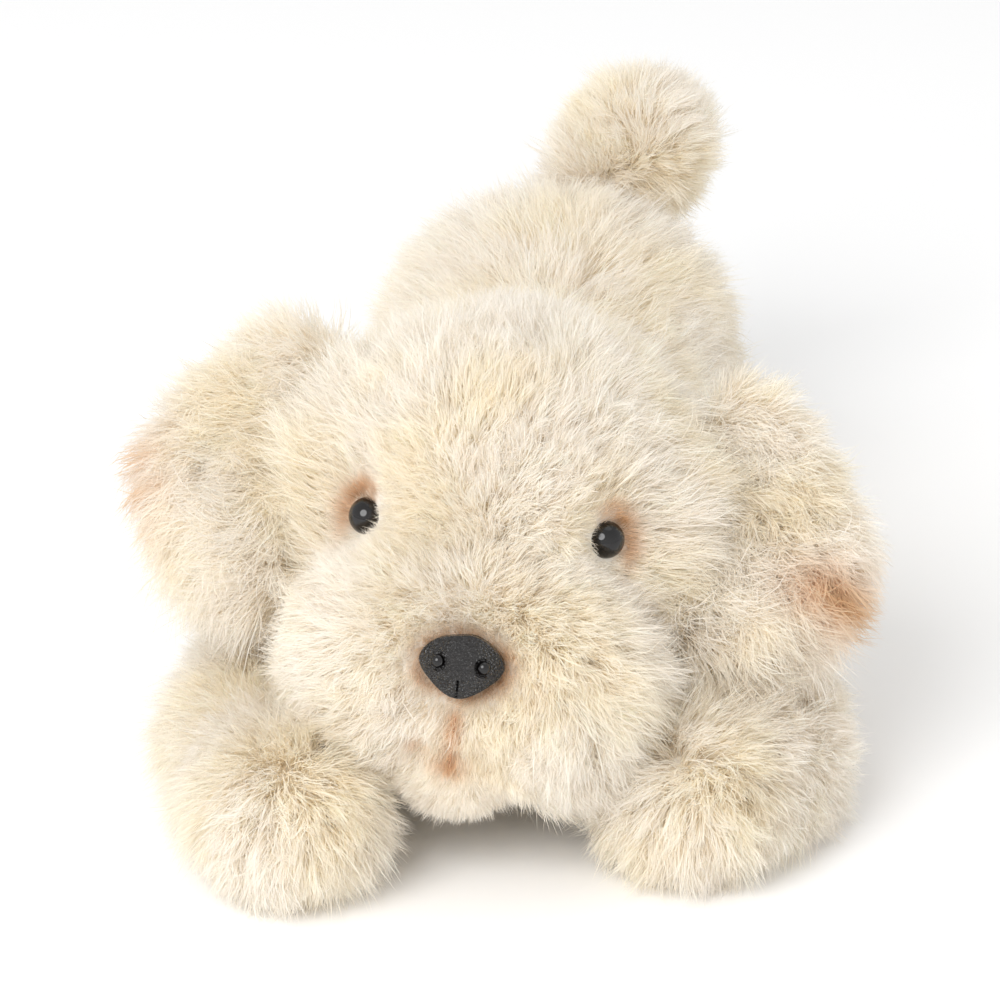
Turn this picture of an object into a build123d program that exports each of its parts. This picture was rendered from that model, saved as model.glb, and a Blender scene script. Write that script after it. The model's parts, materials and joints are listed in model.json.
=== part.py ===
from build123d import *

import os
from itertools import pairwise

# A lying plush dog, in millimetres. +Z is up, the nose points along -Y and the tail along +Y.
# "left" is the dog's own left, which is the +X side. The origin is on the flat of the belly.

# ---- fabrics and clearances ----
PILE = 8.0  # long-pile fur fabric: woven backing and packed pile
LIMB_PILE = 6.0  # the same fabric, stretched tighter round legs and tail
SOLE = 3.0  # short-pile fabric under the paws and belly
CLEAR = 0.4  # air between a cover and what fills it
THREAD = 0.6  # radius of a sewing thread bundle

# ---- head ----
HEAD_CENTRE = (0, -160, 88)
HEAD_PITCH = 15.0  # nose up
HEAD_ROLL = 5.5  # left side down
HEAD_YAW = 4.5  # nose towards the left side
SKULL_CENTRE = (0, 3, 1)  # in the head's own frame, as are the next three
SKULL_RADIUS = 66.0
CHEEK_CENTRE = (18, -51, -37)
CHEEK_RADIUS = 38.0
CHIN_CENTRE = (0, -60, -62)
CHIN_RADIUS = 21.0
GUSSET_HALF_WIDTH = 21.0
MOUTH_HEIGHT = -67.0  # the seam above the chin, in the head's own frame
NECK_OPENING = 28.0

# ---- eyes and nose ----
EYE_RADIUS = 6.2
EYE_FLAT = 0.8  # how far the eye's back face lies in front of its dome's centre
EYE_DIRECTION = {  # from the middle of the skull; the eyes sit a little unevenly
    "left": (40.5, -52.0, 9.4),
    "right": (-43.5, -49.8, 4.2),
}
EYE_SINK = 4.0  # how deep the eye's rim sits in the pile
SHANK_RADIUS = 2.0
SHANK_LENGTH = 15.0
WASHER_RADIUS = 7.5
WASHER_THICK = 2.0
NOSE_HALF_WIDTH = 13.5
NOSE_HALF_HEIGHT = 10.0
NOSE_DEPTH = 10.0
NOSE_SEAT = (0, -86, -29)
NOSE_TILT = 8.0
NOSTRIL_SPACING = 14.5
NOSTRIL_RADIUS = 2.9

# ---- ears ----
EAR_HINGE = (65, 4, 19)
EAR_DROOP = {"left": 18.0, "right": 22.0}
EAR_LEAN = 28.0
EAR_FLAP = [((4, 24), 16), ((29, -5), 25), ((19, -29), 24)]  # centres and radii of its outline
EAR_THICK = 7.0  # one layer
EAR_GAP = 1.6  # between the ear's root and the head
EAR_SWING = 30.0  # how far forwards the ear can flap

# ---- torso, neck and tail ----
TORSO_POINTS = [(-4, -40, 47), (-14, 40, 55)]  # middle of the chest and of the rump
TORSO_RADII = [54.0, 64.0]
MID_BACK = -8.0  # the seam along the back
FLANK = 56.0  # from the rump's middle to its flat sides, where the hind legs lie
BELLY_BAG_POINTS = [(-5, -36, 24), (-12, 32, 24)]
BELLY_BAG_RADIUS = 14.0
NECK_PIVOT = (0, -130, 78)
NECK_AXIS = (0, 60, -18)
NECK_RADIUS = 42.0
TAIL_POINTS = [(-4, 97, 117), (9, 104, 129)]
TAIL_RADII = [19.0, 22.5]

# ---- legs ----
FORELEG_POINTS = {
    "left": [(60, -94, 34), (94, -186, 20), (72, -217, 24)],
    "right": [(-65, -94, 34), (-80, -198, 20), (-52, -252, 24)],
}
FORELEG_RADII = [25.0, 22.0, 25.5]
PAW_BAG_HEIGHT = 20.0
PAW_BAG_RADIUS = 13.0
HIP = (47, 27)  # y and z
HIP_RADIUS = 27.0
HIND_FOOT = (-20, 17)
HIND_FOOT_RADIUS = 17.0
HIND_LEG_THICK = 20.0
HIND_LEG_ROUND = 8.0

SIDES = {"left": 1, "right": -1}
HEAD = Plane(Location(HEAD_CENTRE, (-HEAD_PITCH, HEAD_ROLL, HEAD_YAW)))
FORWARD = HEAD.y_dir * -1


def on_head(x, y, z):
    """A point of the head's own frame, in the dog's frame."""
    return HEAD.from_local_coords(Vector(x, y, z))


def head_direction(x, y, z):
    """A direction of the head's own frame, in the dog's frame."""
    return on_head(x, y, z) - on_head(0, 0, 0)


def capsule(start, end, wide, narrow):
    """Adds two balls and the straight skin that wraps them, turned as one solid."""
    run = Vector(end) - Vector(start)
    length = run.length
    lean = (wide - narrow) / length
    rise = (1 - lean**2) ** 0.5
    axis = Plane(origin=start, z_dir=run)
    with BuildSketch(Plane(origin=start, x_dir=run, z_dir=axis.x_dir)) as half:
        with BuildLine():
            ThreePointArc(
                (-wide, 0), (-wide * 0.6, wide * 0.8), (wide * lean, wide * rise)
            )
            Line((wide * lean, wide * rise), (length + narrow * lean, narrow * rise))
            ThreePointArc(
                (length + narrow * lean, narrow * rise),
                (length + narrow * 0.8, narrow * 0.6),
                (length + narrow, 0),
            )
            Line((length + narrow, 0), (-wide, 0))
        make_face()
    revolve(half.sketch, axis=Axis(start, run))


def limb(points, radii, inset=0.0):
    """Adds a run of capsules, all of them smaller by inset. Each starts a hair inside the last."""
    for number, ((start, wide), (end, narrow)) in enumerate(pairwise(zip(points, radii))):
        capsule(start, end, wide - inset - 0.05 * number, narrow - inset)


def keep_above(height):
    """Cuts the part being built flat at the given height and keeps what is above."""
    split(bisect_by=Plane.XY.offset(height), keep=Keep.TOP)


def flank(side):
    """Where the rump's flat side is, along X."""
    return TORSO_POINTS[1][0] + SIDES[side] * FLANK


def finish(piece, name):
    """Names a finished piece and writes its file."""
    piece.label = name
    export_step(piece, f"parts/{name}.step")


# ---- whole forms, from which covers and stuffing are cut ----
def head_form(inset):
    with BuildPart() as form:
        with Locations(on_head(*SKULL_CENTRE)):
            Sphere(SKULL_RADIUS - inset)
        out, y, z = CHEEK_CENTRE
        cheeks = on_head(-out, y, z), on_head(out, y, z)
        capsule(*cheeks, CHEEK_RADIUS - inset, CHEEK_RADIUS - inset)
        with Locations(on_head(*CHIN_CENTRE)):
            Sphere(CHIN_RADIUS - inset)
    return form.part


def torso_form(inset, floor):
    with BuildPart() as form:
        limb(TORSO_POINTS, TORSO_RADII, inset)
        keep_above(floor)
        split(bisect_by=Plane.YZ.offset(flank("left") - inset), keep=Keep.BOTTOM)
        split(bisect_by=Plane.YZ.offset(flank("right") + inset), keep=Keep.TOP)
    return form.part


def foreleg_form(side, inset, floor):
    with BuildPart() as form:
        limb(FORELEG_POINTS[side], FORELEG_RADII, inset)
        keep_above(floor)
    return form.part


def hind_leg_form(side, inset, floor):
    """A drumstick outline in the plane of the flank, given its thickness outwards."""
    outwards = SIDES[side]
    inner_x = flank(side) + outwards * (0.6 + inset)
    inner_face = Plane(origin=(inner_x, 0, 0), x_dir=(0, 1, 0), z_dir=(outwards, 0, 0))
    with BuildPart() as form:
        with BuildSketch(inner_face):
            with Locations((HIP[0], outwards * HIP[1])):
                Circle(HIP_RADIUS - inset)
            with Locations((HIND_FOOT[0], outwards * HIND_FOOT[1])):
                Circle(HIND_FOOT_RADIUS - inset)
            make_hull()
        extrude(amount=HIND_LEG_THICK - 2 * inset)
        outer_face = form.faces().sort_by(Axis.X)[-1 if side == "left" else 0]
        fillet(outer_face.edges(), HIND_LEG_ROUND - inset)
        keep_above(floor)
    return form.part


def sole(discs, name):
    """A flat panel on the floor, with the outline that wraps the given (centre, radius) discs."""
    with BuildPart() as panel:
        with BuildSketch():
            for centre, radius in discs:
                with Locations(centre):
                    Circle(radius)
            make_hull()
        extrude(amount=SOLE)
    finish(panel.part, name)


def cut_radius(radius, height):
    """The radius of a ball's flat, where a sole meets it."""
    return (radius**2 - (height - SOLE) ** 2) ** 0.5 - 0.5


def shell(outer, inner):
    """The fabric between two forms."""
    with BuildPart() as fabric:
        add(outer)
        add(inner, mode=Mode.SUBTRACT)
    return fabric.part


# ---- what is fixed through the head's fabric ----
def eye_plane(side):
    """On the skull's surface, facing straight out of it."""
    normal = Vector(*EYE_DIRECTION[side]).normalized()
    seat = normal * SKULL_RADIUS + Vector(*SKULL_CENTRE)
    return Plane(origin=on_head(*seat), z_dir=head_direction(*normal))


def nose_plane():
    """At the back of the nose's face, tilted up a little."""
    facing = Vector(0, -1, 0).rotate(Axis.X, -NOSE_TILT)
    return Plane(
        origin=on_head(*NOSE_SEAT), x_dir=HEAD.x_dir, z_dir=head_direction(*facing)
    )


def shank_pocket(plane, head_radius, below):
    """The room that a fitting takes: its face in the pile, its shank and its washer."""
    with BuildPart() as room:
        with BuildSketch(plane.offset(-below)):
            Circle(head_radius + CLEAR)
        extrude(amount=4 * below)
        with BuildSketch(plane.offset(-below)):
            Circle(SHANK_RADIUS + 0.1)
        extrude(amount=-PILE)
    return room.part


def washer_room(plane, depth):
    with BuildPart() as room:
        with BuildSketch(plane.offset(-depth)):
            Circle(WASHER_RADIUS + CLEAR)
        extrude(amount=-(SHANK_LENGTH + CLEAR))
    return room.part


def washer(plane):
    """A press-on locking washer with a raised collar, its top face on the plane."""
    with BuildPart() as disc:
        with BuildSketch(plane):
            Circle(WASHER_RADIUS)
            Circle(SHANK_RADIUS + 0.02, mode=Mode.SUBTRACT)
        extrude(amount=-WASHER_THICK)
        with BuildSketch(plane.offset(-WASHER_THICK)):
            Circle(SHANK_RADIUS + 1.6)
            Circle(SHANK_RADIUS + 0.02, mode=Mode.SUBTRACT)
        extrude(amount=-1.5)
    return disc.part


def eye(plane):
    """A domed plastic eye with its shank."""
    back = plane.offset(-EYE_SINK)
    with BuildPart() as moulded:
        with Locations(back.offset(-EYE_FLAT)):
            Sphere(EYE_RADIUS)
        split(bisect_by=back, keep=Keep.TOP)
        with BuildSketch(back):
            Circle(SHANK_RADIUS)
        extrude(amount=-SHANK_LENGTH)
    return moulded.part


def nose_outline(plane, grow=0.0):
    """A rounded shield: widest above the middle, narrow at the bottom."""
    wide = NOSE_HALF_WIDTH + grow
    high = NOSE_HALF_HEIGHT + grow
    with BuildSketch(plane) as outline:
        with BuildLine():
            Spline(
                (0, high),
                (0.62 * wide, 0.78 * high),
                (wide, 0.08 * high),
                (0.68 * wide, -0.52 * high),
                (0, -high),
                (-0.68 * wide, -0.52 * high),
                (-wide, 0.08 * high),
                (-0.62 * wide, 0.78 * high),
                periodic=True,
            )
        make_face()
    return outline.sketch


def nose(plane):
    """A domed plastic nose with two ringed nostrils, a slit and a shank."""
    dome_radius = 21.0
    with BuildPart() as moulded:
        extrude(nose_outline(plane), amount=NOSE_DEPTH)
        with Locations(plane.offset(NOSE_DEPTH - dome_radius)):
            Sphere(dome_radius, mode=Mode.INTERSECT)
        with Locations(plane.offset(NOSE_DEPTH - 1.2)):
            with Locations((-NOSTRIL_SPACING / 2, 0.8), (NOSTRIL_SPACING / 2, 0.8)):
                Torus(NOSTRIL_RADIUS - 0.6, 0.9, mode=Mode.SUBTRACT)
        with Locations(plane.offset(NOSE_DEPTH)):
            with Locations((0, -NOSE_HALF_HEIGHT + 2.5)):
                Box(0.8, 7, 5, mode=Mode.SUBTRACT)
        with BuildSketch(plane):
            Circle(SHANK_RADIUS)
        extrude(amount=-SHANK_LENGTH)
    return moulded.part


def mouth_line(radius):
    """A tube from the foot of the nose down the middle of the muzzle to the mouth."""
    middle = Plane(origin=HEAD.origin, x_dir=FORWARD, z_dir=HEAD.x_dir * -1)
    with BuildPart() as tube:
        with BuildLine(middle) as line:
            ThreePointArc((88.0, -45.6), (84.4, -54.8), (78.5, -64.6))
        with BuildSketch(Plane(origin=line.line @ 0, z_dir=line.line % 0)):
            Circle(radius)
        sweep(path=line.line)
    return tube.part


def ear_plane(side):
    """The middle of an ear: x runs outwards and down, z faces forwards and up."""
    out = SIDES[side]
    outwards = Vector(out, 0, 0).rotate(Axis.Y, out * EAR_DROOP[side])
    facing = Vector(0, -1, 0).rotate(Axis.X, -EAR_LEAN)
    return Plane(
        origin=on_head(out * EAR_HINGE[0], EAR_HINGE[1], EAR_HINGE[2]),
        x_dir=head_direction(*outwards),
        z_dir=head_direction(*facing),
    )


def ear_layer(side, towards):
    """One layer of an ear: a rounded flap, thickened to one side of the ear's middle."""
    up = SIDES[side]
    with BuildPart() as layer:
        with BuildSketch(ear_plane(side)):
            for (along, across), radius in EAR_FLAP:
                with Locations((along, up * across)):
                    Circle(radius)
            make_hull()
        extrude(amount=towards * EAR_THICK)
        far_rim = layer.faces().sort_by(Axis(ear_plane(side).origin, ear_plane(side).z_dir * towards))[-1]
        fillet(far_rim.edges(), EAR_THICK - 1.0)
        root = Axis(ear_plane(side).origin, ear_plane(side).y_dir)
        for swing in (0, EAR_SWING / 2, EAR_SWING):
            add(HEAD_KEEP_OUT.rotate(root, swing), mode=Mode.SUBTRACT)
    return layer.part


os.makedirs("parts", exist_ok=True)
for old in os.listdir("parts"):
    os.remove(os.path.join("parts", old))

# ---- head: eyes, nose and mouth ----
EYES = {side: eye_plane(side) for side in SIDES}
NOSE = nose_plane()
FITTINGS = [shank_pocket(EYES[side], EYE_RADIUS, EYE_SINK) for side in SIDES]
for side in SIDES:
    finish(eye(EYES[side]), f"eye_{side}")
    finish(washer(EYES[side].offset(-PILE - 0.8)), f"eye_washer_{side}")
finish(nose(NOSE), "nose")
finish(washer(NOSE.offset(-9)), "nose_washer")
finish(mouth_line(THREAD), "mouth_thread")

# ---- head: covers ----
with BuildPart() as nose_room:
    extrude(nose_outline(NOSE, CLEAR), amount=2 * NOSE_DEPTH)
    with BuildSketch(NOSE):
        Circle(SHANK_RADIUS + 0.1)
    extrude(amount=-SHANK_LENGTH)

neck_direction = Vector(NECK_AXIS).normalized()
neck_plane = Plane(origin=NECK_PIVOT, z_dir=neck_direction)
with BuildPart() as neck_hole:
    with BuildSketch(neck_plane):
        Circle(NECK_OPENING)
    extrude(amount=120)

with BuildPart() as head_cover:
    add(shell(head_form(0), head_form(PILE)))
    for room in FITTINGS:
        add(room, mode=Mode.SUBTRACT)
    add(nose_room.part, mode=Mode.SUBTRACT)
    add(mouth_line(THREAD + 0.1), mode=Mode.SUBTRACT)
    add(neck_hole.part, mode=Mode.SUBTRACT)

chin_cut = Plane(origin=on_head(0, 0, MOUTH_HEIGHT), x_dir=HEAD.x_dir, z_dir=HEAD.z_dir)
left_cut = Plane(origin=on_head(GUSSET_HALF_WIDTH, 0, 0), x_dir=FORWARD, z_dir=HEAD.x_dir)
right_cut = Plane(origin=on_head(-GUSSET_HALF_WIDTH, 0, 0), x_dir=FORWARD, z_dir=HEAD.x_dir)

with BuildPart() as chin_panel:
    add(head_cover.part)
    split(bisect_by=chin_cut, keep=Keep.BOTTOM)
finish(chin_panel.part, "chin_panel")

with BuildPart() as upper_cover:
    add(head_cover.part)
    split(bisect_by=chin_cut, keep=Keep.TOP)

with BuildPart() as head_side_left:
    add(upper_cover.part)
    split(bisect_by=left_cut, keep=Keep.TOP)
finish(head_side_left.part, "head_side_left")

with BuildPart() as head_side_right:
    add(upper_cover.part)
    split(bisect_by=right_cut, keep=Keep.BOTTOM)
finish(head_side_right.part, "head_side_right")

with BuildPart() as head_gusset:
    add(upper_cover.part)
    split(bisect_by=left_cut, keep=Keep.BOTTOM)
    split(bisect_by=right_cut, keep=Keep.TOP)
finish(head_gusset.part, "head_gusset")

with BuildPart() as head_stuffing:
    add(head_form(PILE + CLEAR))
    for side in SIDES:
        add(washer_room(EYES[side], PILE), mode=Mode.SUBTRACT)
    add(washer_room(NOSE, 0), mode=Mode.SUBTRACT)
finish(head_stuffing.part, "head_stuffing")

# ---- ears ----
HEAD_KEEP_OUT = head_form(-EAR_GAP)
for side in SIDES:
    finish(ear_layer(side, 1), f"ear_outer_{side}")
    finish(ear_layer(side, -1), f"ear_lining_{side}")

# ---- torso ----
with BuildPart() as torso_cover:
    add(shell(torso_form(0, SOLE), torso_form(PILE, SOLE)))
    with BuildSketch(Plane(origin=NECK_PIVOT, z_dir=neck_direction)):
        Circle(NECK_OPENING - 8)
    extrude(amount=80, mode=Mode.SUBTRACT)

for side, keep in (("left", Keep.TOP), ("right", Keep.BOTTOM)):
    with BuildPart() as torso_side:
        add(torso_cover.part)
        split(bisect_by=Plane.YZ.offset(MID_BACK), keep=keep)
    finish(torso_side.part, f"torso_side_{side}")

sole(
    [((x, y), cut_radius(radius, z)) for (x, y, z), radius in zip(TORSO_POINTS, TORSO_RADII)],
    "belly_panel",
)

with BuildPart() as belly_bean_bag:
    limb(BELLY_BAG_POINTS, [BELLY_BAG_RADIUS] * 2)

with BuildPart() as torso_stuffing:
    add(torso_form(PILE + CLEAR, SOLE + CLEAR))
    with BuildPart(mode=Mode.PRIVATE) as belly_bag_room:
        limb(BELLY_BAG_POINTS, [BELLY_BAG_RADIUS + CLEAR] * 2)
    add(belly_bag_room.part, mode=Mode.SUBTRACT)
finish(torso_stuffing.part, "torso_stuffing")
finish(belly_bean_bag.part, "belly_bean_bag")

# ---- neck ----
with BuildPart() as neck_room:
    add(head_form(-CLEAR))
    add(torso_form(-CLEAR, -CLEAR))

with BuildPart() as neck_gusset:
    with BuildSketch(neck_plane):
        Circle(NECK_RADIUS)
        Circle(NECK_RADIUS - LIMB_PILE, mode=Mode.SUBTRACT)
    extrude(amount=75)
    add(neck_room.part, mode=Mode.SUBTRACT)
finish(neck_gusset.part, "neck_gusset")

with BuildPart() as neck_stuffing:
    with BuildSketch(neck_plane):
        Circle(NECK_OPENING - 9)
    extrude(amount=75)
    add(head_form(PILE), mode=Mode.SUBTRACT)
    add(torso_form(PILE, SOLE), mode=Mode.SUBTRACT)
finish(neck_stuffing.part, "neck_stuffing")

# ---- tail ----
with BuildPart() as tail_cover:
    limb(TAIL_POINTS, TAIL_RADII)
    with BuildPart(mode=Mode.PRIVATE) as tail_inside:
        limb(TAIL_POINTS, TAIL_RADII, LIMB_PILE)
    add(tail_inside.part, mode=Mode.SUBTRACT)
finish(tail_cover.part, "tail_cover")

with BuildPart() as tail_stuffing:
    limb(TAIL_POINTS, TAIL_RADII, LIMB_PILE + CLEAR)
finish(tail_stuffing.part, "tail_stuffing")

# ---- legs ----
for side in SIDES:
    paw = FORELEG_POINTS[side][-1]
    with BuildPart() as foreleg_cover:
        add(shell(foreleg_form(side, 0, SOLE), foreleg_form(side, LIMB_PILE, SOLE)))
    finish(foreleg_cover.part, f"foreleg_cover_{side}")

    foreleg = list(zip(FORELEG_POINTS[side], FORELEG_RADII))[1:]
    sole([((x, y), cut_radius(radius, z)) for (x, y, z), radius in foreleg], f"foreleg_sole_{side}")

    with BuildPart() as paw_bean_bag:
        with Locations((paw[0], paw[1], PAW_BAG_HEIGHT)):
            Sphere(PAW_BAG_RADIUS)
    finish(paw_bean_bag.part, f"paw_bean_bag_{side}")

    with BuildPart() as foreleg_stuffing:
        add(foreleg_form(side, LIMB_PILE + CLEAR, SOLE + CLEAR))
        with Locations((paw[0], paw[1], PAW_BAG_HEIGHT)):
            Sphere(PAW_BAG_RADIUS + CLEAR, mode=Mode.SUBTRACT)
    finish(foreleg_stuffing.part, f"foreleg_stuffing_{side}")

    with BuildPart() as hind_leg_cover:
        add(shell(hind_leg_form(side, 0, SOLE), hind_leg_form(side, LIMB_PILE, SOLE)))
    finish(hind_leg_cover.part, f"hind_leg_cover_{side}")

    middle = flank(side) + SIDES[side] * (0.6 + (HIND_LEG_THICK - HIND_LEG_ROUND) / 2)
    hind_leg = [((middle, HIND_FOOT[0]), 5), ((middle, HIP[0]), 5)]
    sole(hind_leg, f"hind_leg_sole_{side}")

    with BuildPart() as hind_leg_stuffing:
        add(hind_leg_form(side, LIMB_PILE + CLEAR, SOLE + CLEAR))
    finish(hind_leg_stuffing.part, f"hind_leg_stuffing_{side}")
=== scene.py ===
"""A lying plush dog: fur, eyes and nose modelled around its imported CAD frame."""

import json
import math

import bpy
import bmesh
import numpy as np
from mathutils import Matrix, Vector, noise


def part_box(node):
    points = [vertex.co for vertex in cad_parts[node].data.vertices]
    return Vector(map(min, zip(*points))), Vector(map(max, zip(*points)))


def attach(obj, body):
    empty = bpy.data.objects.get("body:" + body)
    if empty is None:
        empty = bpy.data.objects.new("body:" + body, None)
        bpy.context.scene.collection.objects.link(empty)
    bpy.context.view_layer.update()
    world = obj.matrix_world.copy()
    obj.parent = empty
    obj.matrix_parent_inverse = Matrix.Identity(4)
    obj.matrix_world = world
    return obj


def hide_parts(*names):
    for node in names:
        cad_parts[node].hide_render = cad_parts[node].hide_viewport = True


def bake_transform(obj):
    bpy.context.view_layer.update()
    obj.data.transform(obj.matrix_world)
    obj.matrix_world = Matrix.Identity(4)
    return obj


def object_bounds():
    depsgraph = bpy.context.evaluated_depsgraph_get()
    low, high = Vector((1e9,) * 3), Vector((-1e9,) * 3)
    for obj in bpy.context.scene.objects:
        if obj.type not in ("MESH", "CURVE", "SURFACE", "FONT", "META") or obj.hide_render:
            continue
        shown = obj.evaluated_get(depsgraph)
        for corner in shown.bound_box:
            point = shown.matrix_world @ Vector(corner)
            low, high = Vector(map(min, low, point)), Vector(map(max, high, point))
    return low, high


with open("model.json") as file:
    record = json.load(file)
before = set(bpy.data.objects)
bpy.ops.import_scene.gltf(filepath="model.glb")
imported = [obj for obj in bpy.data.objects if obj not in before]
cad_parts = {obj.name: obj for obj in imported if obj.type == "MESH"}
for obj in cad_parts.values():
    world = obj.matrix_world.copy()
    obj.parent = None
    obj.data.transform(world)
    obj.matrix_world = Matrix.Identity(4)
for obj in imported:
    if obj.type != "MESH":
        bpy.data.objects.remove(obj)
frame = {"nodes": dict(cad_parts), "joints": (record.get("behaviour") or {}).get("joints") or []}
CAD_BOX = [list(corner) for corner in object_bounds()]
NODES = frame["nodes"]
MM = 0.001
SEGMENTS = 3  # along a hair
SIDES = {"left": 1, "right": -1}

# The head's own frame: x to the dog's left, -y out of the face, z up.
HEAD_CENTRE = np.array([0.0, -160.0, 88.0]) * MM
HEAD_TURN = (
    Matrix.Rotation(math.radians(-15.0), 3, "X")
    @ Matrix.Rotation(math.radians(5.5), 3, "Y")
    @ Matrix.Rotation(math.radians(4.5), 3, "Z")
)
HEAD_AXES = np.array(HEAD_TURN)


def on_head(x, y, z):
    return HEAD_CENTRE + HEAD_AXES @ (np.array([x, y, z]) * MM)


def to_head(points):
    """Points in millimetres of the head's own frame."""
    return (points - HEAD_CENTRE) @ HEAD_AXES / MM


# ---------------------------------------------------------------- colours
def linear(red, green, blue):
    """An sRGB colour, 0 to 255, as linear light."""
    c = np.array([red, green, blue]) / 255.0
    return np.where(c <= 0.04045, c / 12.92, ((c + 0.055) / 1.055) ** 2.4)


TIP_COLOUR = linear(251, 247, 241)
ROOT_COLOUR = linear(251, 246, 237)
YELLOW = linear(251, 245, 231)
WARM_BROWN = linear(214, 168, 112)
DARK_BROWN = linear(128, 94, 66)
EAR_BROWN = linear(222, 180, 124)


# ---------------------------------------------------------------- small numeric helpers
def unit(v):
    return v / np.maximum(np.linalg.norm(v, axis=-1, keepdims=True), 1e-9)


def smoothstep(low, high, x):
    t = np.clip((x - low) / (high - low), 0.0, 1.0)
    return t * t * (3.0 - 2.0 * t)


def tangential(v, n):
    return v - n * np.sum(v * n, axis=-1, keepdims=True)


NOISE_OFFSETS = [Vector(v) for v in ((9.321, -1.531, -7.951), (0, 0, 0), (6.327, 0.167, -2.672))]


def noise_vectors(points, scale, seed):
    """Smooth random vectors that vary over the given length, in metres.

    Built from noise.noise, as noise.noise_vector differs from one Blender process to the next.
    """
    shift = Vector((seed * 7.31, seed * 3.17, seed * 5.23))
    places = [Vector(p) / scale + shift for p in points]
    return np.array([[noise.noise(place + offset) for offset in NOISE_OFFSETS] for place in places])


# ---------------------------------------------------------------- skins, from the CAD nodes
def evaluated(obj):
    bpy.context.view_layer.update()
    graph = bpy.context.evaluated_depsgraph_get()
    return bpy.data.meshes.new_from_object(obj.evaluated_get(graph))


def largest_island(mesh):
    bm = bmesh.new()
    bm.from_mesh(mesh)
    left = set(bm.verts)
    islands = []
    while left:
        start = left.pop()
        island = [start]
        stack = [start]
        while stack:
            for edge in stack.pop().link_edges:
                for vert in edge.verts:
                    if vert in left:
                        left.remove(vert)
                        island.append(vert)
                        stack.append(vert)
        islands.append(island)
    islands.sort(key=len)
    spare = [v for island in islands[:-1] for v in island]
    bmesh.ops.delete(bm, geom=spare, context="VERTS")
    bm.to_mesh(mesh)
    bm.free()


def read_vertices(mesh):
    co = np.empty(len(mesh.vertices) * 3)
    mesh.vertices.foreach_get("co", co)
    no = np.empty(len(mesh.vertices) * 3)
    mesh.vertex_normals.foreach_get("vector", no)
    return co.reshape(-1, 3), no.reshape(-1, 3)


def skin(name, nodes, voxel, relax, sink):
    """One smooth closed surface round the given CAD nodes, sunk below their outside.

    sink is in millimetres, or gives them for an array of points.
    """
    bm = bmesh.new()
    for node in nodes:
        bm.from_mesh(NODES[node].data)
    mesh = bpy.data.meshes.new(name)
    bm.to_mesh(mesh)
    bm.free()
    obj = bpy.data.objects.new(name, mesh)
    bpy.context.scene.collection.objects.link(obj)
    remesh = obj.modifiers.new("remesh", "REMESH")
    remesh.mode = "VOXEL"
    remesh.voxel_size = voxel * MM
    first = evaluated(obj)
    largest_island(first)
    obj.modifiers.clear()
    obj.data = first
    for iterations, depth in ((relax, sink), (3, None)):
        smooth = obj.modifiers.new("smooth", "SMOOTH")
        smooth.factor = 0.5
        smooth.iterations = iterations
        final = evaluated(obj)
        obj.modifiers.clear()
        obj.data = final
        if depth is not None:
            points, normals = read_vertices(final)
            down = depth(points) if callable(depth) else np.full(len(points), float(depth))
            final.vertices.foreach_set("co", (points - normals * down[:, None] * MM).reshape(-1))
            final.update()
    obj.data.polygons.foreach_set("use_smooth", [True] * len(obj.data.polygons))
    return obj


def triangles(obj):
    """(corners, corner normals, areas) of a skin's triangles."""
    mesh = obj.data
    mesh.calc_loop_triangles()
    co, no = read_vertices(mesh)
    tri = np.empty(len(mesh.loop_triangles) * 3, dtype=np.int32)
    mesh.loop_triangles.foreach_get("vertices", tri)
    tri = tri.reshape(-1, 3)
    corners = co[tri]
    cross = np.cross(corners[:, 1] - corners[:, 0], corners[:, 2] - corners[:, 0])
    return corners, no[tri], 0.5 * np.linalg.norm(cross, axis=1)


def scatter(obj, spacing, rng):
    """Evenly spread points on a skin, about one for each square of that spacing."""
    corners, normals, areas = triangles(obj)
    tries = int(6 * areas.sum() / (spacing * MM) ** 2)
    pick = rng.choice(len(areas), size=tries, p=areas / areas.sum())
    a, b = rng.random((2, tries))
    over = a + b > 1.0
    a[over], b[over] = 1.0 - a[over], 1.0 - b[over]
    weights = np.stack([1.0 - a - b, a, b], axis=1)[:, :, None]
    points = (corners[pick] * weights).sum(1)
    facing = unit((normals[pick] * weights).sum(1))
    cells = np.floor(points / (spacing * MM * 0.82)).astype(np.int64)
    keys = cells[:, 0] * 73856093 ^ cells[:, 1] * 19349663 ^ cells[:, 2] * 83492791
    first = np.unique(keys, return_index=True)[1]
    return points[first], facing[first]


# ---------------------------------------------------------------- materials
def new_material(name):
    mat = bpy.data.materials.new(name)
    mat.use_nodes = True
    return mat, mat.node_tree.nodes, mat.node_tree.links


def texture(nodes, links, kind, scale, **settings):
    """A procedural texture in the object's own space."""
    place = nodes.new("ShaderNodeTexCoord")
    made = nodes.new(kind)
    made.inputs["Scale"].default_value = scale
    for name, value in settings.items():
        made.inputs[name].default_value = value
    links.new(place.outputs["Object"], made.inputs["Vector"])
    return made


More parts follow.
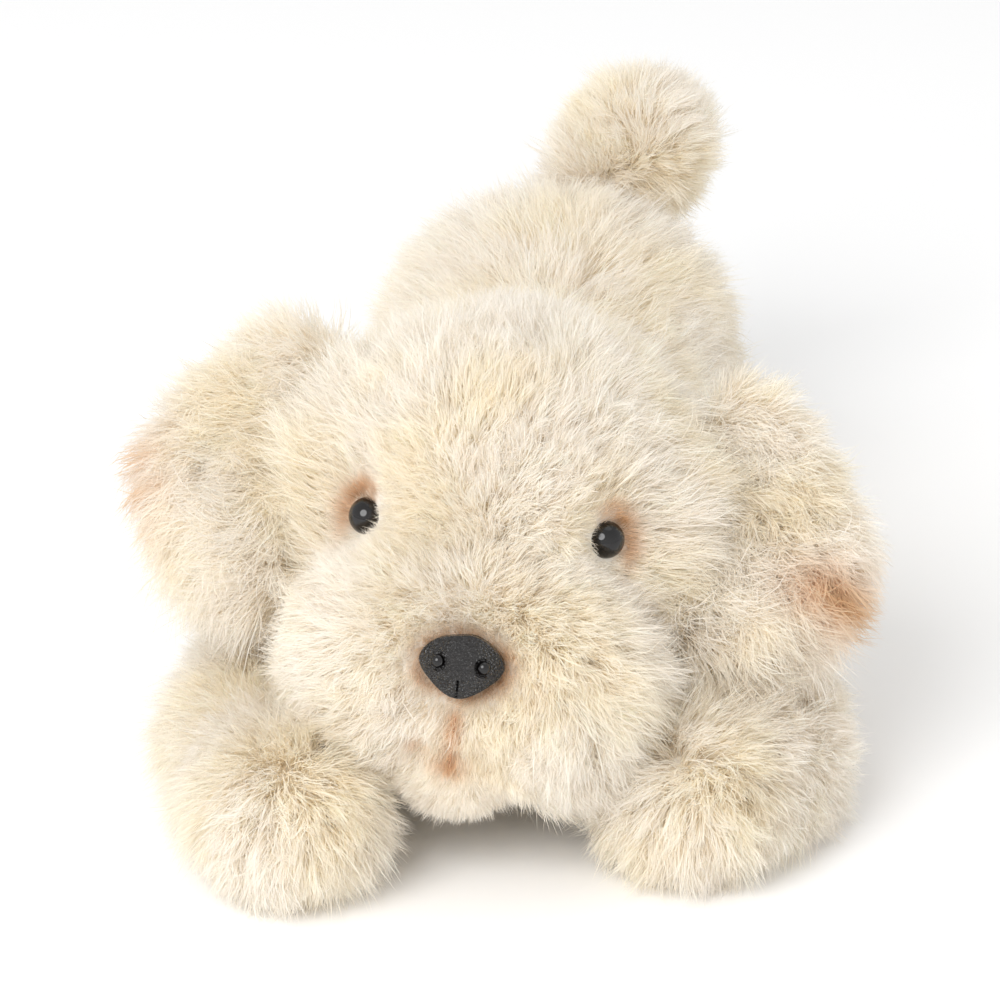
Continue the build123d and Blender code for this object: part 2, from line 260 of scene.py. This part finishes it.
def fur_material(name, low, through_share):
    """The colour comes from the mesh, with fine streaks; thin fibre lets light through."""
    mat, nodes, links = new_material(name)
    shader = nodes["Principled BSDF"]
    shader.inputs["Roughness"].default_value = 0.75
    shader.inputs["Specular IOR Level"].default_value = 0.12
    tint = nodes.new("ShaderNodeAttribute")
    tint.attribute_name = "hair_colour"
    grain = texture(nodes, links, "ShaderNodeTexNoise", 700.0)
    spread = nodes.new("ShaderNodeMapRange")
    spread.inputs["To Min"].default_value = low
    spread.inputs["To Max"].default_value = 1.02
    mix = nodes.new("ShaderNodeMix")
    mix.data_type = "RGBA"
    mix.blend_type = "MULTIPLY"
    mix.inputs["Factor"].default_value = 1.0
    links.new(grain.outputs["Fac"], spread.inputs["Value"])
    links.new(tint.outputs["Color"], mix.inputs["A"])
    links.new(spread.outputs["Result"], mix.inputs["B"])
    links.new(mix.outputs["Result"], shader.inputs["Base Color"])
    through = nodes.new("ShaderNodeBsdfTranslucent")
    links.new(mix.outputs["Result"], through.inputs["Color"])
    both = nodes.new("ShaderNodeMixShader")
    both.inputs["Fac"].default_value = through_share
    links.new(shader.outputs["BSDF"], both.inputs[1])
    links.new(through.outputs["BSDF"], both.inputs[2])
    links.new(both.outputs["Shader"], nodes["Material Output"].inputs["Surface"])
    return mat


def mottled(name, dark, light, scale, roughness, coat=0.0, bump=0.0, cells=None):
    """A material whose colour drifts between two tones, with an optional fine relief.

    bump is the relief's height in millimetres. cells is its scale where it is pebbled.
    """
    mat, nodes, links = new_material(name)
    shader = nodes["Principled BSDF"]
    shader.inputs["Roughness"].default_value = roughness
    shader.inputs["Coat Weight"].default_value = coat
    shader.inputs["Coat Roughness"].default_value = 0.04
    ramp = nodes.new("ShaderNodeValToRGB")
    ramp.color_ramp.elements[0].position = 0.3
    ramp.color_ramp.elements[1].position = 0.7
    ramp.color_ramp.elements[0].color = (*dark, 1)
    ramp.color_ramp.elements[1].color = (*light, 1)
    grain = texture(nodes, links, "ShaderNodeTexNoise", scale, Detail=4.0)
    links.new(grain.outputs["Fac"], ramp.inputs["Fac"])
    links.new(ramp.outputs["Color"], shader.inputs["Base Color"])
    if bump:
        relief = nodes.new("ShaderNodeBump")
        relief.inputs["Distance"].default_value = bump * MM
        relief.inputs["Strength"].default_value = 1.0
        if cells:
            height = texture(nodes, links, "ShaderNodeTexVoronoi", cells).outputs["Distance"]
        else:
            height = grain.outputs["Fac"]
        links.new(height, relief.inputs["Height"])
        links.new(relief.outputs["Normal"], shader.inputs["Normal"])
    return mat


FUR = fur_material("long_pile_fur", 0.97, 0.55)
BACKING = fur_material("fur_backing", 0.9, 0.2)


# ---------------------------------------------------------------- hair
LONG_TUFTS = 0.12  # the share of clumps that stand out
LONG_TUFT_FACTOR = 1.22


def grow_paths(centres, normals, flow, lengths, start, end, style, rng):
    """Points along every hair, as (hairs, SEGMENTS + 1, 3), with each hair's clump number.

    start and end are the angles from the skin's normal at the root and at the tip.
    """
    clumps = len(centres)
    hairs = style["hairs"]
    t = np.linspace(0.0, 1.0, SEGMENTS + 1)
    middle_t = 0.5 * (t[1:] + t[:-1])
    rough = noise_vectors(centres, 11 * MM, 1) * 0.6 + noise_vectors(centres, 34 * MM, 2) * 0.7
    along = unit(tangential(flow + rough * style["wander"], normals) + 1e-6)
    across = np.cross(normals, along)

    def path(root, n, d, length, lean, lie, curl):
        """A hair that leaves at one angle from the normal, ends at another and curls aside."""
        aside = np.cross(n, d)
        bend = lean[..., None] + (lie - lean)[..., None] * middle_t**0.8
        twist = curl[..., None] * middle_t
        step = length[..., None] / SEGMENTS
        moves = [np.cos(bend), np.sin(bend) * np.cos(twist), np.sin(bend) * np.sin(twist)]
        offset = np.zeros((*root.shape[:-1], SEGMENTS + 1, 3))
        for move, axis in zip(moves, (n, d, aside)):
            run = np.cumsum(move * step, -1)
            offset[..., 1:, :] += axis[..., None, :] * run[..., None]
        return root[..., None, :] + offset

    start = np.radians(start) + rng.normal(0, 0.16, clumps)
    end = np.radians(end) + rng.normal(0, 0.22, clumps)
    curl = rng.normal(0, style["curl"], clumps)
    lengths = lengths * rng.uniform(0.8, 1.1, clumps)
    lengths = lengths * np.where(rng.random(clumps) < LONG_TUFTS, LONG_TUFT_FACTOR, 1.0)
    lead = path(centres, normals, along, lengths, start, end, curl)

    shape = (clumps, hairs)
    angle = rng.uniform(0, 2 * np.pi, shape)
    reach = np.sqrt(rng.random(shape)) * style["spacing"] * MM * 0.85
    root = (
        centres[:, None]
        + along[:, None] * (np.cos(angle) * reach)[..., None]
        + across[:, None] * (np.sin(angle) * reach)[..., None]
    )
    own_dir = unit(
        tangential(along[:, None] + rng.normal(0, style["stray"], (*shape, 3)), normals[:, None])
    )
    own_start = start[:, None] + rng.normal(0, 0.26, shape)
    own_end = end[:, None] + rng.normal(0, 0.30, shape)
    own_curl = curl[:, None] + rng.normal(0, 0.5, shape)
    own_length = lengths[:, None] * rng.uniform(0.68, 1.16, shape)
    n = np.broadcast_to(normals[:, None], own_dir.shape)
    own = path(root, n, own_dir, own_length, own_start, own_end, own_curl)

    loose = rng.random(shape) < style["loose"]
    hold = np.where(loose, 0.05, style["clump"] * rng.uniform(0.5, 1.15, shape))
    pull = np.clip(hold, 0, 1)[..., None] * t**1.2
    hair = own + (lead[:, None] - own) * pull[..., None]
    wave = rng.normal(0, style["frizz"] * MM, (*shape, 3))[:, :, None] * (t**1.4)[:, None]
    kink = rng.normal(0, style["frizz"] * 0.4 * MM, (*shape, SEGMENTS + 1, 3)) * t[:, None]
    hair = hair + (wave + kink) * np.clip(lengths / (12 * MM), 0.2, 1)[:, None, None, None]
    number = np.repeat(np.arange(clumps), hairs)
    return hair.reshape(-1, SEGMENTS + 1, 3), number


PAST_BOX_SHARE = 0.03  # of each side of the CAD box
PAST_BOX_ROOM = 9.0
FLOOR_GAP = 0.15


def within_room(points):
    """Draws in, softly, the hairs that reach furthest past the CAD box, and lifts all off the floor."""
    low, high = np.array(CAD_BOX[0]), np.array(CAD_BOX[1])
    room = PAST_BOX_SHARE * (high - low) + PAST_BOX_ROOM * MM
    soft = 0.5 * room
    for sign, edge in ((1, high + soft), (-1, -(low - soft))):
        over = np.maximum(points * sign - edge, 0.0)
        points = points - sign * (over - soft * np.tanh(over / soft))
    points[..., 2] = np.maximum(points[..., 2], FLOOR_GAP * MM)
    return points


def hair_mesh(name, paths, facing, widths, colours, rng):
    """Flat tapering ribbons along the paths. colours is (hairs, SEGMENTS + 1, 3)."""
    count = len(paths)
    along = np.gradient(paths, axis=1)
    roll = rng.normal(0, 0.5, (count, 1, 3))
    side = unit(np.cross(along, facing[:, None] + roll))
    taper = np.array([1.0, 1.0, 0.75])[None, :, None]
    half = 0.5 * widths[:, None, None] * taper
    low = paths[:, :SEGMENTS]
    pairs = np.stack([low - side[:, :SEGMENTS] * half, low + side[:, :SEGMENTS] * half], axis=2)
    verts = np.concatenate([pairs.reshape(count, -1, 3), paths[:, SEGMENTS:]], axis=1)
    verts = within_room(verts)
    per = 2 * SEGMENTS + 1

    quads = [[2 * j, 2 * j + 1, 2 * j + 3, 2 * j + 2] for j in range(SEGMENTS - 1)]
    loops = np.array(sum(quads, []) + [2 * SEGMENTS - 2, 2 * SEGMENTS - 1, 2 * SEGMENTS])
    sizes = np.array([4] * (SEGMENTS - 1) + [3])
    loop_verts = (np.arange(count)[:, None] * per + loops).reshape(-1)
    loop_starts = (
        np.arange(count)[:, None] * len(loops) + np.concatenate([[0], np.cumsum(sizes)[:-1]])
    ).reshape(-1)

    mesh = bpy.data.meshes.new(name)
    mesh.vertices.add(count * per)
    mesh.vertices.foreach_set("co", verts.astype(np.float32).reshape(-1))
    mesh.loops.add(len(loop_verts))
    mesh.loops.foreach_set("vertex_index", loop_verts.astype(np.int32))
    mesh.polygons.add(count * len(sizes))
    mesh.polygons.foreach_set("loop_start", loop_starts.astype(np.int32))
    mesh.polygons.foreach_set("use_smooth", np.ones(count * len(sizes), dtype=bool))
    mesh.update(calc_edges=True)

    level = np.minimum(np.arange(per) // 2, SEGMENTS)
    rgba = np.ones((count, per, 4), dtype=np.float32)
    rgba[..., :3] = colours[:, level]
    layer = mesh.color_attributes.new("hair_colour", "FLOAT_COLOR", "POINT")
    layer.data.foreach_set("color", rgba.reshape(-1))

    grid = int(math.ceil(math.sqrt(count)))
    cell = np.stack([np.arange(count) % grid, np.arange(count) // grid], axis=1)
    u = np.where(np.arange(per) % 2 == 0, 0.25, 0.75)
    u[-1] = 0.5
    v = 0.12 + 0.76 * level / SEGMENTS
    spot = (cell[:, None] + np.stack([u, v], axis=1)[None]) / grid
    bake = mesh.uv_layers.new(name="OFBake")
    bake.data.foreach_set("uv", spot[:, loops].astype(np.float32).reshape(-1))
    mesh.materials.append(FUR)
    obj = bpy.data.objects.new(name, mesh)
    bpy.context.scene.collection.objects.link(obj)
    return obj


BASE_STYLE = {
    "spacing": 3.2,
    "hairs": 22,
    "wander": 1.7,
    "stray": 0.34,
    "curl": 0.7,
    "clump": 0.62,
    "frizz": 0.7,
    "loose": 0.22,
    "width": 0.34,
}
MOST_HAIRS = 27500  # in one piece


def steady(value):
    """A property that is the same all over a skin."""
    return lambda points, normals: np.full(len(points), float(value))


def hair_colours(paths, clump, clumps, centres, tint_of, rng):
    t = np.linspace(0, 1, SEGMENTS + 1)
    blend = (t**0.6)[None, :, None]
    drift = noise_vectors(centres, 24 * MM, 5)[:, 0]
    yellow = (0.75 * smoothstep(-0.25, 0.45, drift))[clump][:, None, None]
    shade = 1 + rng.normal(0, 0.018, clumps)[clump] + rng.normal(0, 0.03, len(paths))
    tips = TIP_COLOUR * (1 - yellow) + YELLOW * yellow
    colours = (ROOT_COLOUR * (1 - blend) + tips * blend) * shade[:, None, None]
    if tint_of is not None:
        for strength, colour in tint_of(paths):
            strength = strength[..., None]
            colours = colours * (1 - strength) + colour * shade[:, None, None] * strength
    return np.clip(colours, 0, 0.98)


def grow(
    name, body, base, length_of, flow_of, tint_of=None, start=None, end=None, seed=1, parts=None,
    **changes,
):
    """Covers a skin with fur. parts maps a piece's name to a test of where its hairs root.

    body is None for a skin that is attached to no body, such as the neck's. changes overrides
    BASE_STYLE.
    """
    style = {**BASE_STYLE, **changes}
    start = start or steady(14)
    end = end or steady(58)
    rng = np.random.default_rng(seed)
    centres, normals = scatter(base, style["spacing"], rng)
    lengths = length_of(centres, normals) * MM
    keep = lengths > 0.5 * MM
    centres, normals, lengths = centres[keep], normals[keep], lengths[keep]
    flow = unit(tangential(flow_of(centres, normals), normals))
    lean, lie = start(centres, normals), end(centres, normals)
    paths, clump = grow_paths(centres, normals, flow, lengths, lean, lie, style, rng)
    colours = hair_colours(paths, clump, len(centres), centres, tint_of, rng)
    widths = style["width"] * MM * rng.uniform(0.7, 1.25, len(paths))
    widths = widths * np.clip(lengths[clump] / (12 * MM), 0.55, 1.0)
    tests = parts or {name: lambda p: np.ones(len(p), dtype=bool)}
    made = []
    taken = np.zeros(len(paths), dtype=bool)
    for part, test in tests.items():
        inside = test(centres)[clump] & ~taken
        taken |= inside
        where = np.flatnonzero(inside)
        pieces = max(1, int(math.ceil(len(where) / MOST_HAIRS)))
        for k, chosen in enumerate(np.array_split(where, pieces)):
            label = part if k == 0 else f"{part}_{k + 1}"
            obj = hair_mesh(
                label, paths[chosen], normals[clump[chosen]], widths[chosen], colours[chosen], rng
            )
            if body:
                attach(obj, body)
            made.append(obj)
    print(name, "clumps", len(centres), "hairs", len(paths))
    return made


def cover(obj, body, *nodes, tint_of=None):
    """A skin that stands for CAD fabric."""
    obj.data.materials.clear()
    obj.data.materials.append(BACKING)
    points, _ = read_vertices(obj.data)
    colours = np.tile(ROOT_COLOUR, (len(points), 1))
    for strength, colour in tint_of(points) if tint_of else []:
        colours = colours * (1 - strength[:, None]) + colour * strength[:, None]
    rgba = np.concatenate([colours, np.ones((len(points), 1))], axis=1)
    layer = obj.data.color_attributes.new("hair_colour", "FLOAT_COLOR", "POINT")
    layer.data.foreach_set("color", rgba.astype(np.float32).reshape(-1))
    if body:
        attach(obj, body)
    if nodes:
        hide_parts(*nodes)
    return obj


# ---------------------------------------------------------------- head
EYE_SEATS = {"left": np.array([40.2, -48.6, 10.3]), "right": np.array([-43.4, -46.7, 5.2])}
NOSE_SPOT = np.array([0.0, -90.0, -28.5])
NOSE_STRETCH = np.array([1.35, 1.0, 1.0])
BRIDGE = np.array([0.0, -72.0, -6.0])  # the fur spreads out from here, above the nose
MOUTH_TOP = np.array([0.0, -91.0, -42.0])
MOUTH_END = np.array([0.0, -82.0, -64.0])
MOUTH_CORNER = np.array([-11.0, -84.0, -59.0])


def distance_to(points, spot):
    return np.linalg.norm(points - spot, axis=-1)


def distance_to_run(points, start, end):
    run = end - start
    t = np.clip(((points - start) @ run) / (run @ run), 0, 1)
    return np.linalg.norm(points - (start + t[..., None] * run), axis=-1)


def nose_distance(p):
    return distance_to(p / NOSE_STRETCH, NOSE_SPOT / NOSE_STRETCH)


def chin_share(p):
    """1 on the short-pile panel under the mouth, 0 elsewhere."""
    across = 1 - smoothstep(20, 26, np.abs(p[:, 0]))
    return smoothstep(-63, -67, p[:, 2]) * across * smoothstep(-20, -40, p[:, 1])


def head_length(points, normals):
    p = to_head(points)
    length = np.full(len(p), 18.5)
    face = smoothstep(-25, -55, p[:, 1]) * smoothstep(52, 38, p[:, 2])
    length -= 6.0 * face
    cheek = smoothstep(16, 40, np.abs(p[:, 0])) * smoothstep(-8, -30, p[:, 2])
    length += np.where(p[:, 0] > 0, 10.0, 3.0) * cheek
    temple = smoothstep(38, 58, np.abs(p[:, 0])) * smoothstep(-25, 5, p[:, 2])
    length += 12.0 * temple
    lip = smoothstep(-44, -54, p[:, 2]) * smoothstep(24, 12, np.abs(p[:, 0]))
    length -= 5.0 * lip
    for seat in EYE_SEATS.values():
        away = distance_to(p, seat * 0.93)
        length *= 0.3 + 0.7 * smoothstep(8.5, 21, away)
        length = np.where(away < 6.9, 0.0, length)
    nose = nose_distance(p)
    length *= 0.42 + 0.58 * smoothstep(11, 22, nose)
    length = np.where(distance_to(p / NOSE_STRETCH, NOSE_SPOT * [1, 0.95, 1]) < 8.8, 0.0, length)
    mouth = distance_to_run(p, MOUTH_TOP, MOUTH_END)
    length *= 0.9 + 0.1 * smoothstep(1, 9, mouth)
    chin = chin_share(p)
    return length * (1 - chin) + 6.5 * chin


def head_sink(points):
    p = to_head(points)
    face = smoothstep(-25, -55, p[:, 1]) * smoothstep(52, 38, p[:, 2])
    return 4.6 - 1.0 * face - 2.2 * chin_share(p)


def head_start(points, normals):
    return np.full(len(points), 14.0) - 10.0 * chin_share(to_head(points))


def head_end(points, normals):
    p = to_head(points)
    lie = np.full(len(p), 56.0)
    lie += 10.0 * smoothstep(16, 40, np.abs(p[:, 0]))
    lie -= 28.0 * chin_share(p)
    lie -= 34.0 * (1 - smoothstep(12, 18, nose_distance(p)))
    for seat in EYE_SEATS.values():
        lie -= 22.0 * (1 - smoothstep(9, 14, distance_to(p, seat)))
    return lie


def head_flow(points, normals):
    p = to_head(points)
    local = unit(p - BRIDGE) * 0.8
    local[:, 0] += np.sign(p[:, 0]) * 0.9 * smoothstep(24, 56, np.abs(p[:, 0]))
    muzzle = smoothstep(0, -40, p[:, 2])
    local[:, 0] += np.sign(p[:, 0]) * 0.8 * muzzle * smoothstep(3, 13, np.abs(p[:, 0]))
    local[:, 2] -= 0.45 * muzzle
    for side, seat in EYE_SEATS.items():
        d = p - seat
        near = 1 - smoothstep(9, 22, np.linalg.norm(d, axis=-1))
        outer = 0.35 + 0.65 * smoothstep(-4, 4, d[:, 0] * SIDES[side] + d[:, 2] * 0.5)
        local = local + 1.4 * (near * outer)[:, None] * unit(d)
    return local @ HEAD_AXES.T


def head_tint(paths):
    p = to_head(paths)
    tints = []
    for side, seat in EYE_SEATS.items():
        sign = SIDES[side]
        d = p - seat
        outer = smoothstep(-1, 5, d[..., 0] * sign + d[..., 2] * 0.35)
        glow = (1 - smoothstep(6, 16, np.linalg.norm(d, axis=-1))) * outer
        tints.append((glow * 0.85, WARM_BROWN))
        brow = 1 - smoothstep(3, 9.0, distance_to(p, seat + np.array([sign * 0.5, 0.0, 7.5])))
        tints.append((brow * 0.6, WARM_BROWN))
        rim = 1 - smoothstep(6.2, 8.6, distance_to(p, seat + np.array([sign * 1.2, 0, 1.5])))
        tints.append((rim * 0.45, DARK_BROWN))
    nose = nose_distance(p)
    tints.append(((1 - smoothstep(10.5, 15.0, nose)) * 0.55, WARM_BROWN))
    tints.append(((1 - smoothstep(9.8, 11.6, nose)) * 0.4, DARK_BROWN))
    mouth = distance_to_run(p, MOUTH_TOP, MOUTH_END)
    tints.append(((1 - smoothstep(0.8, 4.5, mouth)) * 0.6, WARM_BROWN))
    low = distance_to(p / [1.5, 1, 1], MOUTH_END / [1.5, 1, 1])
    tints.append(((1 - smoothstep(2, 7, low)) * 0.22, WARM_BROWN))
    tints.append(((1 - smoothstep(1, 6, distance_to(p, MOUTH_CORNER))) * 0.35, WARM_BROWN))
    return tints


def build_head():
    covers = ["head_side_left", "head_side_right", "head_gusset", "chin_panel"]
    inside = ["head_stuffing", "eye_left", "eye_right", "eye_washer_left", "eye_washer_right"]
    base = skin("head_backing", covers + inside, 2.5, 12, head_sink)
    cover(base, "head", *covers, tint_of=head_tint)
    half = 21 * MM

    def sideways(p):
        return (p - HEAD_CENTRE) @ HEAD_AXES[:, 0]

    parts = {
        "head_fur_top": lambda p: np.abs(sideways(p)) < half,
        "head_fur_left": lambda p: sideways(p) >= half,
        "head_fur_right": lambda p: sideways(p) <= -half,
    }
    grow(
        "head", "head", base, head_length, head_flow, head_tint, start=head_start, end=head_end, seed=11,
        parts=parts, spacing=2.9,
    )


# ---------------------------------------------------------------- ears
def ear_axes(side):
    """The ear's hinge point, and its outward and upward directions."""
    joint = next(j for j in frame["joints"] if j["name"] == f"ear_{side}_flap")
    up = -np.array(joint["axis"], float) * SIDES[side]
    low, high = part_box(f"ear_outer_{side}")
    middle = (np.array(low) + np.array(high)) / 2
    hinge = np.array(joint["pos_m"], float)
    out = unit(tangential(middle - hinge, up))
    return hinge, out, unit(up)


def build_ear(side):
    nodes = [f"ear_outer_{side}", f"ear_lining_{side}"]
    base = skin(f"ear_backing_{side}", nodes, 2.0, 10, 1.8)
    cover(base, f"ear_{side}", *nodes)
    hinge, out, up = ear_axes(side)

    def flow(points, normals):
        rel = points - hinge
        wide = (rel @ up)[:, None] / (45 * MM)
        return out * 0.9 + up * np.clip(wide, -1, 1) * 0.7 - up * 0.2 + np.array([0, 0, -0.3])

    def length(points, normals):
        rel = points - hinge
        low = smoothstep(0, -30 * MM, rel @ up)
        return 17.0 + 6.0 * smoothstep(35 * MM, 60 * MM, rel @ out) + 11.0 * low

    def tint(paths):
        rel = (paths - hinge) / MM
        reach = rel @ out
        high = rel @ up
        if side == "right":
            patch = np.exp(-(((reach - 68) / 11) ** 2 + ((high + 4) / 24) ** 2))
            uneven = 0.55 + 0.45 * np.sin(high * 0.45 + 0.6)
            return [(np.clip(patch * uneven, 0, 1) * 0.75, EAR_BROWN)]
        patch = np.exp(-(((reach - 60) / 15) ** 2 + ((high + 17) / 9) ** 2))
        tip = np.exp(-(((reach - 76) / 8) ** 2 + (high / 26) ** 2))
        return [(np.clip(patch, 0, 1) * 0.8, EAR_BROWN), (tip * 0.35, EAR_BROWN)]

    name = f"ear_fur_{side}"
    grow(
        name, f"ear_{side}", base, length, flow, tint, start=steady(24), end=steady(68),
        seed=21 + SIDES[side], wander=1.3,
    )


# ---------------------------------------------------------------- torso, neck, tail
def torso_length(points, normals):
    floor = smoothstep(-0.6, -0.95, normals[:, 2])
    return 21.5 * (1 - floor) + 4.0 * floor


def torso_flow(points, normals):
    away = np.zeros_like(points)
    away[:, 1] = 1.0
    away[:, 2] = -0.9
    away[:, 0] = np.sign(points[:, 0]) * 0.35
    return away


def build_torso():
    nodes = ["torso_side_left", "torso_side_right", "belly_panel", "torso_stuffing"]
    base = skin("torso_backing", nodes, 3.0, 14, 4.5)
    cover(base, "torso", "torso_side_left", "torso_side_right", "belly_panel")
    parts = {
        "torso_fur_left": lambda p: p[:, 0] >= 0,
        "torso_fur_right": lambda p: p[:, 0] < 0,
    }
    grow("torso", "torso", base, torso_length, torso_flow, seed=31, parts=parts, spacing=4.2)


def build_tail():
    base = skin("tail_backing", ["tail_cover", "tail_stuffing"], 2.0, 8, 4.0)
    cover(base, "tail", "tail_cover")
    low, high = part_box("tail_cover")
    root = np.array([(low.x + high.x) / 2, low.y, low.z])
    top = np.array([(low.x + high.x) / 2, high.y, high.z])
    axis = unit(top - root)

    def flow(points, normals):
        return axis * 0.5 + np.array([0, 0, -0.3])

    grow(
        "tail_fur", "tail", base, steady(17), flow, start=steady(10), end=steady(48), seed=41,
        wander=2.4,
    )


def build_neck():
    base = skin("neck_backing", ["neck_gusset", "neck_stuffing"], 3.0, 6, 3.0)
    cover(base, None, "neck_gusset")

    def flow(points, normals):
        return np.tile([0.0, 1.0, -0.3], (len(points), 1))

    fur = grow("neck_fur", None, base, steady(20), flow, seed=51, spacing=4.0)
    for piece in [base, *fur]:
        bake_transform(piece)


# ---------------------------------------------------------------- legs
def build_foreleg(side):
    nodes = [f"foreleg_cover_{side}", f"foreleg_sole_{side}", f"foreleg_stuffing_{side}"]
    base = skin(f"foreleg_backing_{side}", nodes, 2.5, 12, 3.8)
    cover(base, f"foreleg_{side}", nodes[0], nodes[1])
    joint = next(j for j in frame["joints"] if j["name"] == f"foreleg_{side}_splay")
    shoulder = np.array(joint["pos_m"], float)
    low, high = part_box(f"paw_bean_bag_{side}")
    paw = (np.array(low) + np.array(high)) / 2

    def flow(points, normals):
        towards = unit(points - shoulder)
        at_paw = smoothstep(45 * MM, 15 * MM, np.linalg.norm(points - paw, axis=1))[:, None]
        front = unit(points - (paw + np.array([0, 12, 16]) * MM))
        return towards * (1 - at_paw) + front * at_paw + np.array([0, 0, -0.35])

    def length(points, normals):
        floor = smoothstep(-0.5, -0.9, normals[:, 2])
        return 18.5 * (1 - floor) + 4.0 * floor

    grow(f"foreleg_fur_{side}", f"foreleg_{side}", base, length, flow, seed=61 + SIDES[side])


def build_hind_leg(side):
    nodes = [f"hind_leg_cover_{side}", f"hind_leg_sole_{side}", f"hind_leg_stuffing_{side}"]
    base = skin(f"hind_leg_backing_{side}", nodes, 2.5, 12, 3.8)
    cover(base, f"hind_leg_{side}", nodes[0], nodes[1])

    def flow(points, normals):
        return np.tile([0.2 * SIDES[side], -1.0, -0.5], (len(points), 1))

    def length(points, normals):
        inner = smoothstep(0.3, 0.8, -normals[:, 0] * SIDES[side])
        return 13.0 * (1 - inner) + 5.0 * inner

    name = f"hind_leg_fur_{side}"
    grow(name, f"hind_leg_{side}", base, length, flow, seed=71 + SIDES[side], spacing=4.2)


# ---------------------------------------------------------------- plastic parts
def ball(name, centre, radius, material):
    mesh = bpy.data.meshes.new(name)
    bm = bmesh.new()
    bmesh.ops.create_uvsphere(bm, u_segments=32, v_segments=20, radius=radius * MM)
    bm.to_mesh(mesh)
    bm.free()
    mesh.transform(Matrix.Translation(Vector(centre)))
    mesh.polygons.foreach_set("use_smooth", [True] * len(mesh.polygons))
    mesh.materials.append(material)
    obj = bpy.data.objects.new(name, mesh)
    bpy.context.scene.collection.objects.link(obj)
    return obj


def dress_plastics():
    gloss = mottled("eye_gloss", (0.001, 0.001, 0.001), (0.005, 0.003, 0.003), 60.0, 0.06, coat=0.1)
    nose = mottled(
        "nose_moulding", (0.004, 0.003, 0.003), (0.010, 0.008, 0.007), 500.0, 0.17, bump=0.6,
        cells=1300.0,
    )
    thread = mottled("mouth_thread", linear(170, 126, 94), linear(203, 162, 130), 1200.0, 0.85)
    white = mottled("washer_moulding", linear(222, 222, 218), linear(236, 236, 232), 90.0, 0.4)
    for side in SIDES:
        NODES[f"eye_{side}"].data.materials[0] = gloss
        NODES[f"eye_washer_{side}"].data.materials[0] = white
    NODES["nose"].data.materials[0] = nose
    NODES["nose_washer"].data.materials[0] = white
    NODES["mouth_thread"].data.materials[0] = thread
    for side, sign in SIDES.items():
        nostril = ball(f"nostril_{side}", on_head(sign * 7.25, -93.0, -27.15), 2.3, gloss)
        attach(nostril, "head")


def dress_filling():
    fibre = mottled("fibre_filling", linear(226, 226, 224), linear(244, 244, 242), 180.0, 0.95)
    pouch = mottled("pellet_pouch", linear(206, 202, 190), linear(228, 224, 212), 420.0, 0.85)
    for name, obj in NODES.items():
        if name.endswith("stuffing") or "_stuffing_" in name:
            obj.data.materials[0] = fibre
        if "bean_bag" in name:
            obj.data.materials[0] = pouch


# ---------------------------------------------------------------- stage
def build_stage():
    size = 3.0
    mesh = bpy.data.meshes.new("floor")
    mesh.from_pydata(
        [(-size, -size, 0), (size, -size, 0), (size, size, 0), (-size, size, 0)], [], [(0, 1, 2, 3)]
    )
    floor = bpy.data.objects.new("floor", mesh)
    bpy.context.scene.collection.objects.link(floor)
    white = (0.92, 0.92, 0.92)
    mesh.materials.append(mottled("floor_white", white, white, 4.0, 0.9))

    world = bpy.data.worlds.new("studio")
    bpy.context.scene.world = world
    world.use_nodes = True
    nodes, links = world.node_tree.nodes, world.node_tree.links
    nodes["Background"].inputs["Color"].default_value = (1, 1, 1, 1)
    place = nodes.new("ShaderNodeTexCoord")
    height = nodes.new("ShaderNodeVectorMath")
    height.operation = "DOT_PRODUCT"
    height.inputs[1].default_value = (0.0, 0.6, 0.8)
    falloff = nodes.new("ShaderNodeMapRange")
    falloff.inputs["From Min"].default_value = -0.6
    falloff.inputs["From Max"].default_value = 0.8
    falloff.inputs["To Min"].default_value = 1.16
    falloff.inputs["To Max"].default_value = 0.78
    links.new(place.outputs["Generated"], height.inputs[0])
    links.new(height.outputs["Value"], falloff.inputs["Value"])
    links.new(falloff.outputs["Result"], nodes["Background"].inputs["Strength"])

    def area(name, place, width, power):
        light = bpy.data.lights.new(name, "AREA")
        light.shape = "DISK"
        light.size = width
        light.energy = power
        obj = bpy.data.objects.new(name, light)
        bpy.context.scene.collection.objects.link(obj)
        obj.location = place
        aim = Vector((0, -0.1, 0.05)) - Vector(place)
        obj.rotation_euler = aim.to_track_quat("-Z", "Y").to_euler()

    area("key", (-0.55, -1.5, 1.25), 1.3, 23)
    area("top", (0.3, 0.2, 1.8), 1.2, 2)
    bpy.context.scene.view_settings.view_transform = "Standard"
    bpy.context.scene.view_settings.look = "None"
    light_paths = bpy.context.scene.cycles  # pale fibre passes light on many times
    light_paths.max_bounces = 24
    light_paths.diffuse_bounces = 16
    light_paths.transmission_bounces = 16


def build_camera():
    azimuth, elevation = math.radians(10), math.radians(25)
    distance = 1.4
    width = 0.3333  # of the view, at the head
    back = np.array(
        [
            math.sin(azimuth) * math.cos(elevation),
            -math.cos(azimuth) * math.cos(elevation),
            math.sin(elevation),
        ]
    )
    right = np.array([math.cos(azimuth), math.sin(azimuth), 0])
    up = np.cross(right, -back)
    aim = HEAD_CENTRE + up * 8.3 * MM
    cam = bpy.data.cameras.new("camera")
    cam.sensor_width = 36
    cam.lens = 36 * distance / width
    cam.clip_end = 20
    obj = bpy.data.objects.new("camera", cam)
    bpy.context.scene.collection.objects.link(obj)
    obj.location = Vector(aim + back * distance)
    obj.rotation_euler = Vector(-back).to_track_quat("-Z", "Y").to_euler()
    bpy.context.scene.camera = obj


build_stage()
build_camera()
dress_plastics()
dress_filling()
build_head()
for side in SIDES:
    build_ear(side)
    build_foreleg(side)
    build_hind_leg(side)
build_torso()
build_tail()
build_neck()
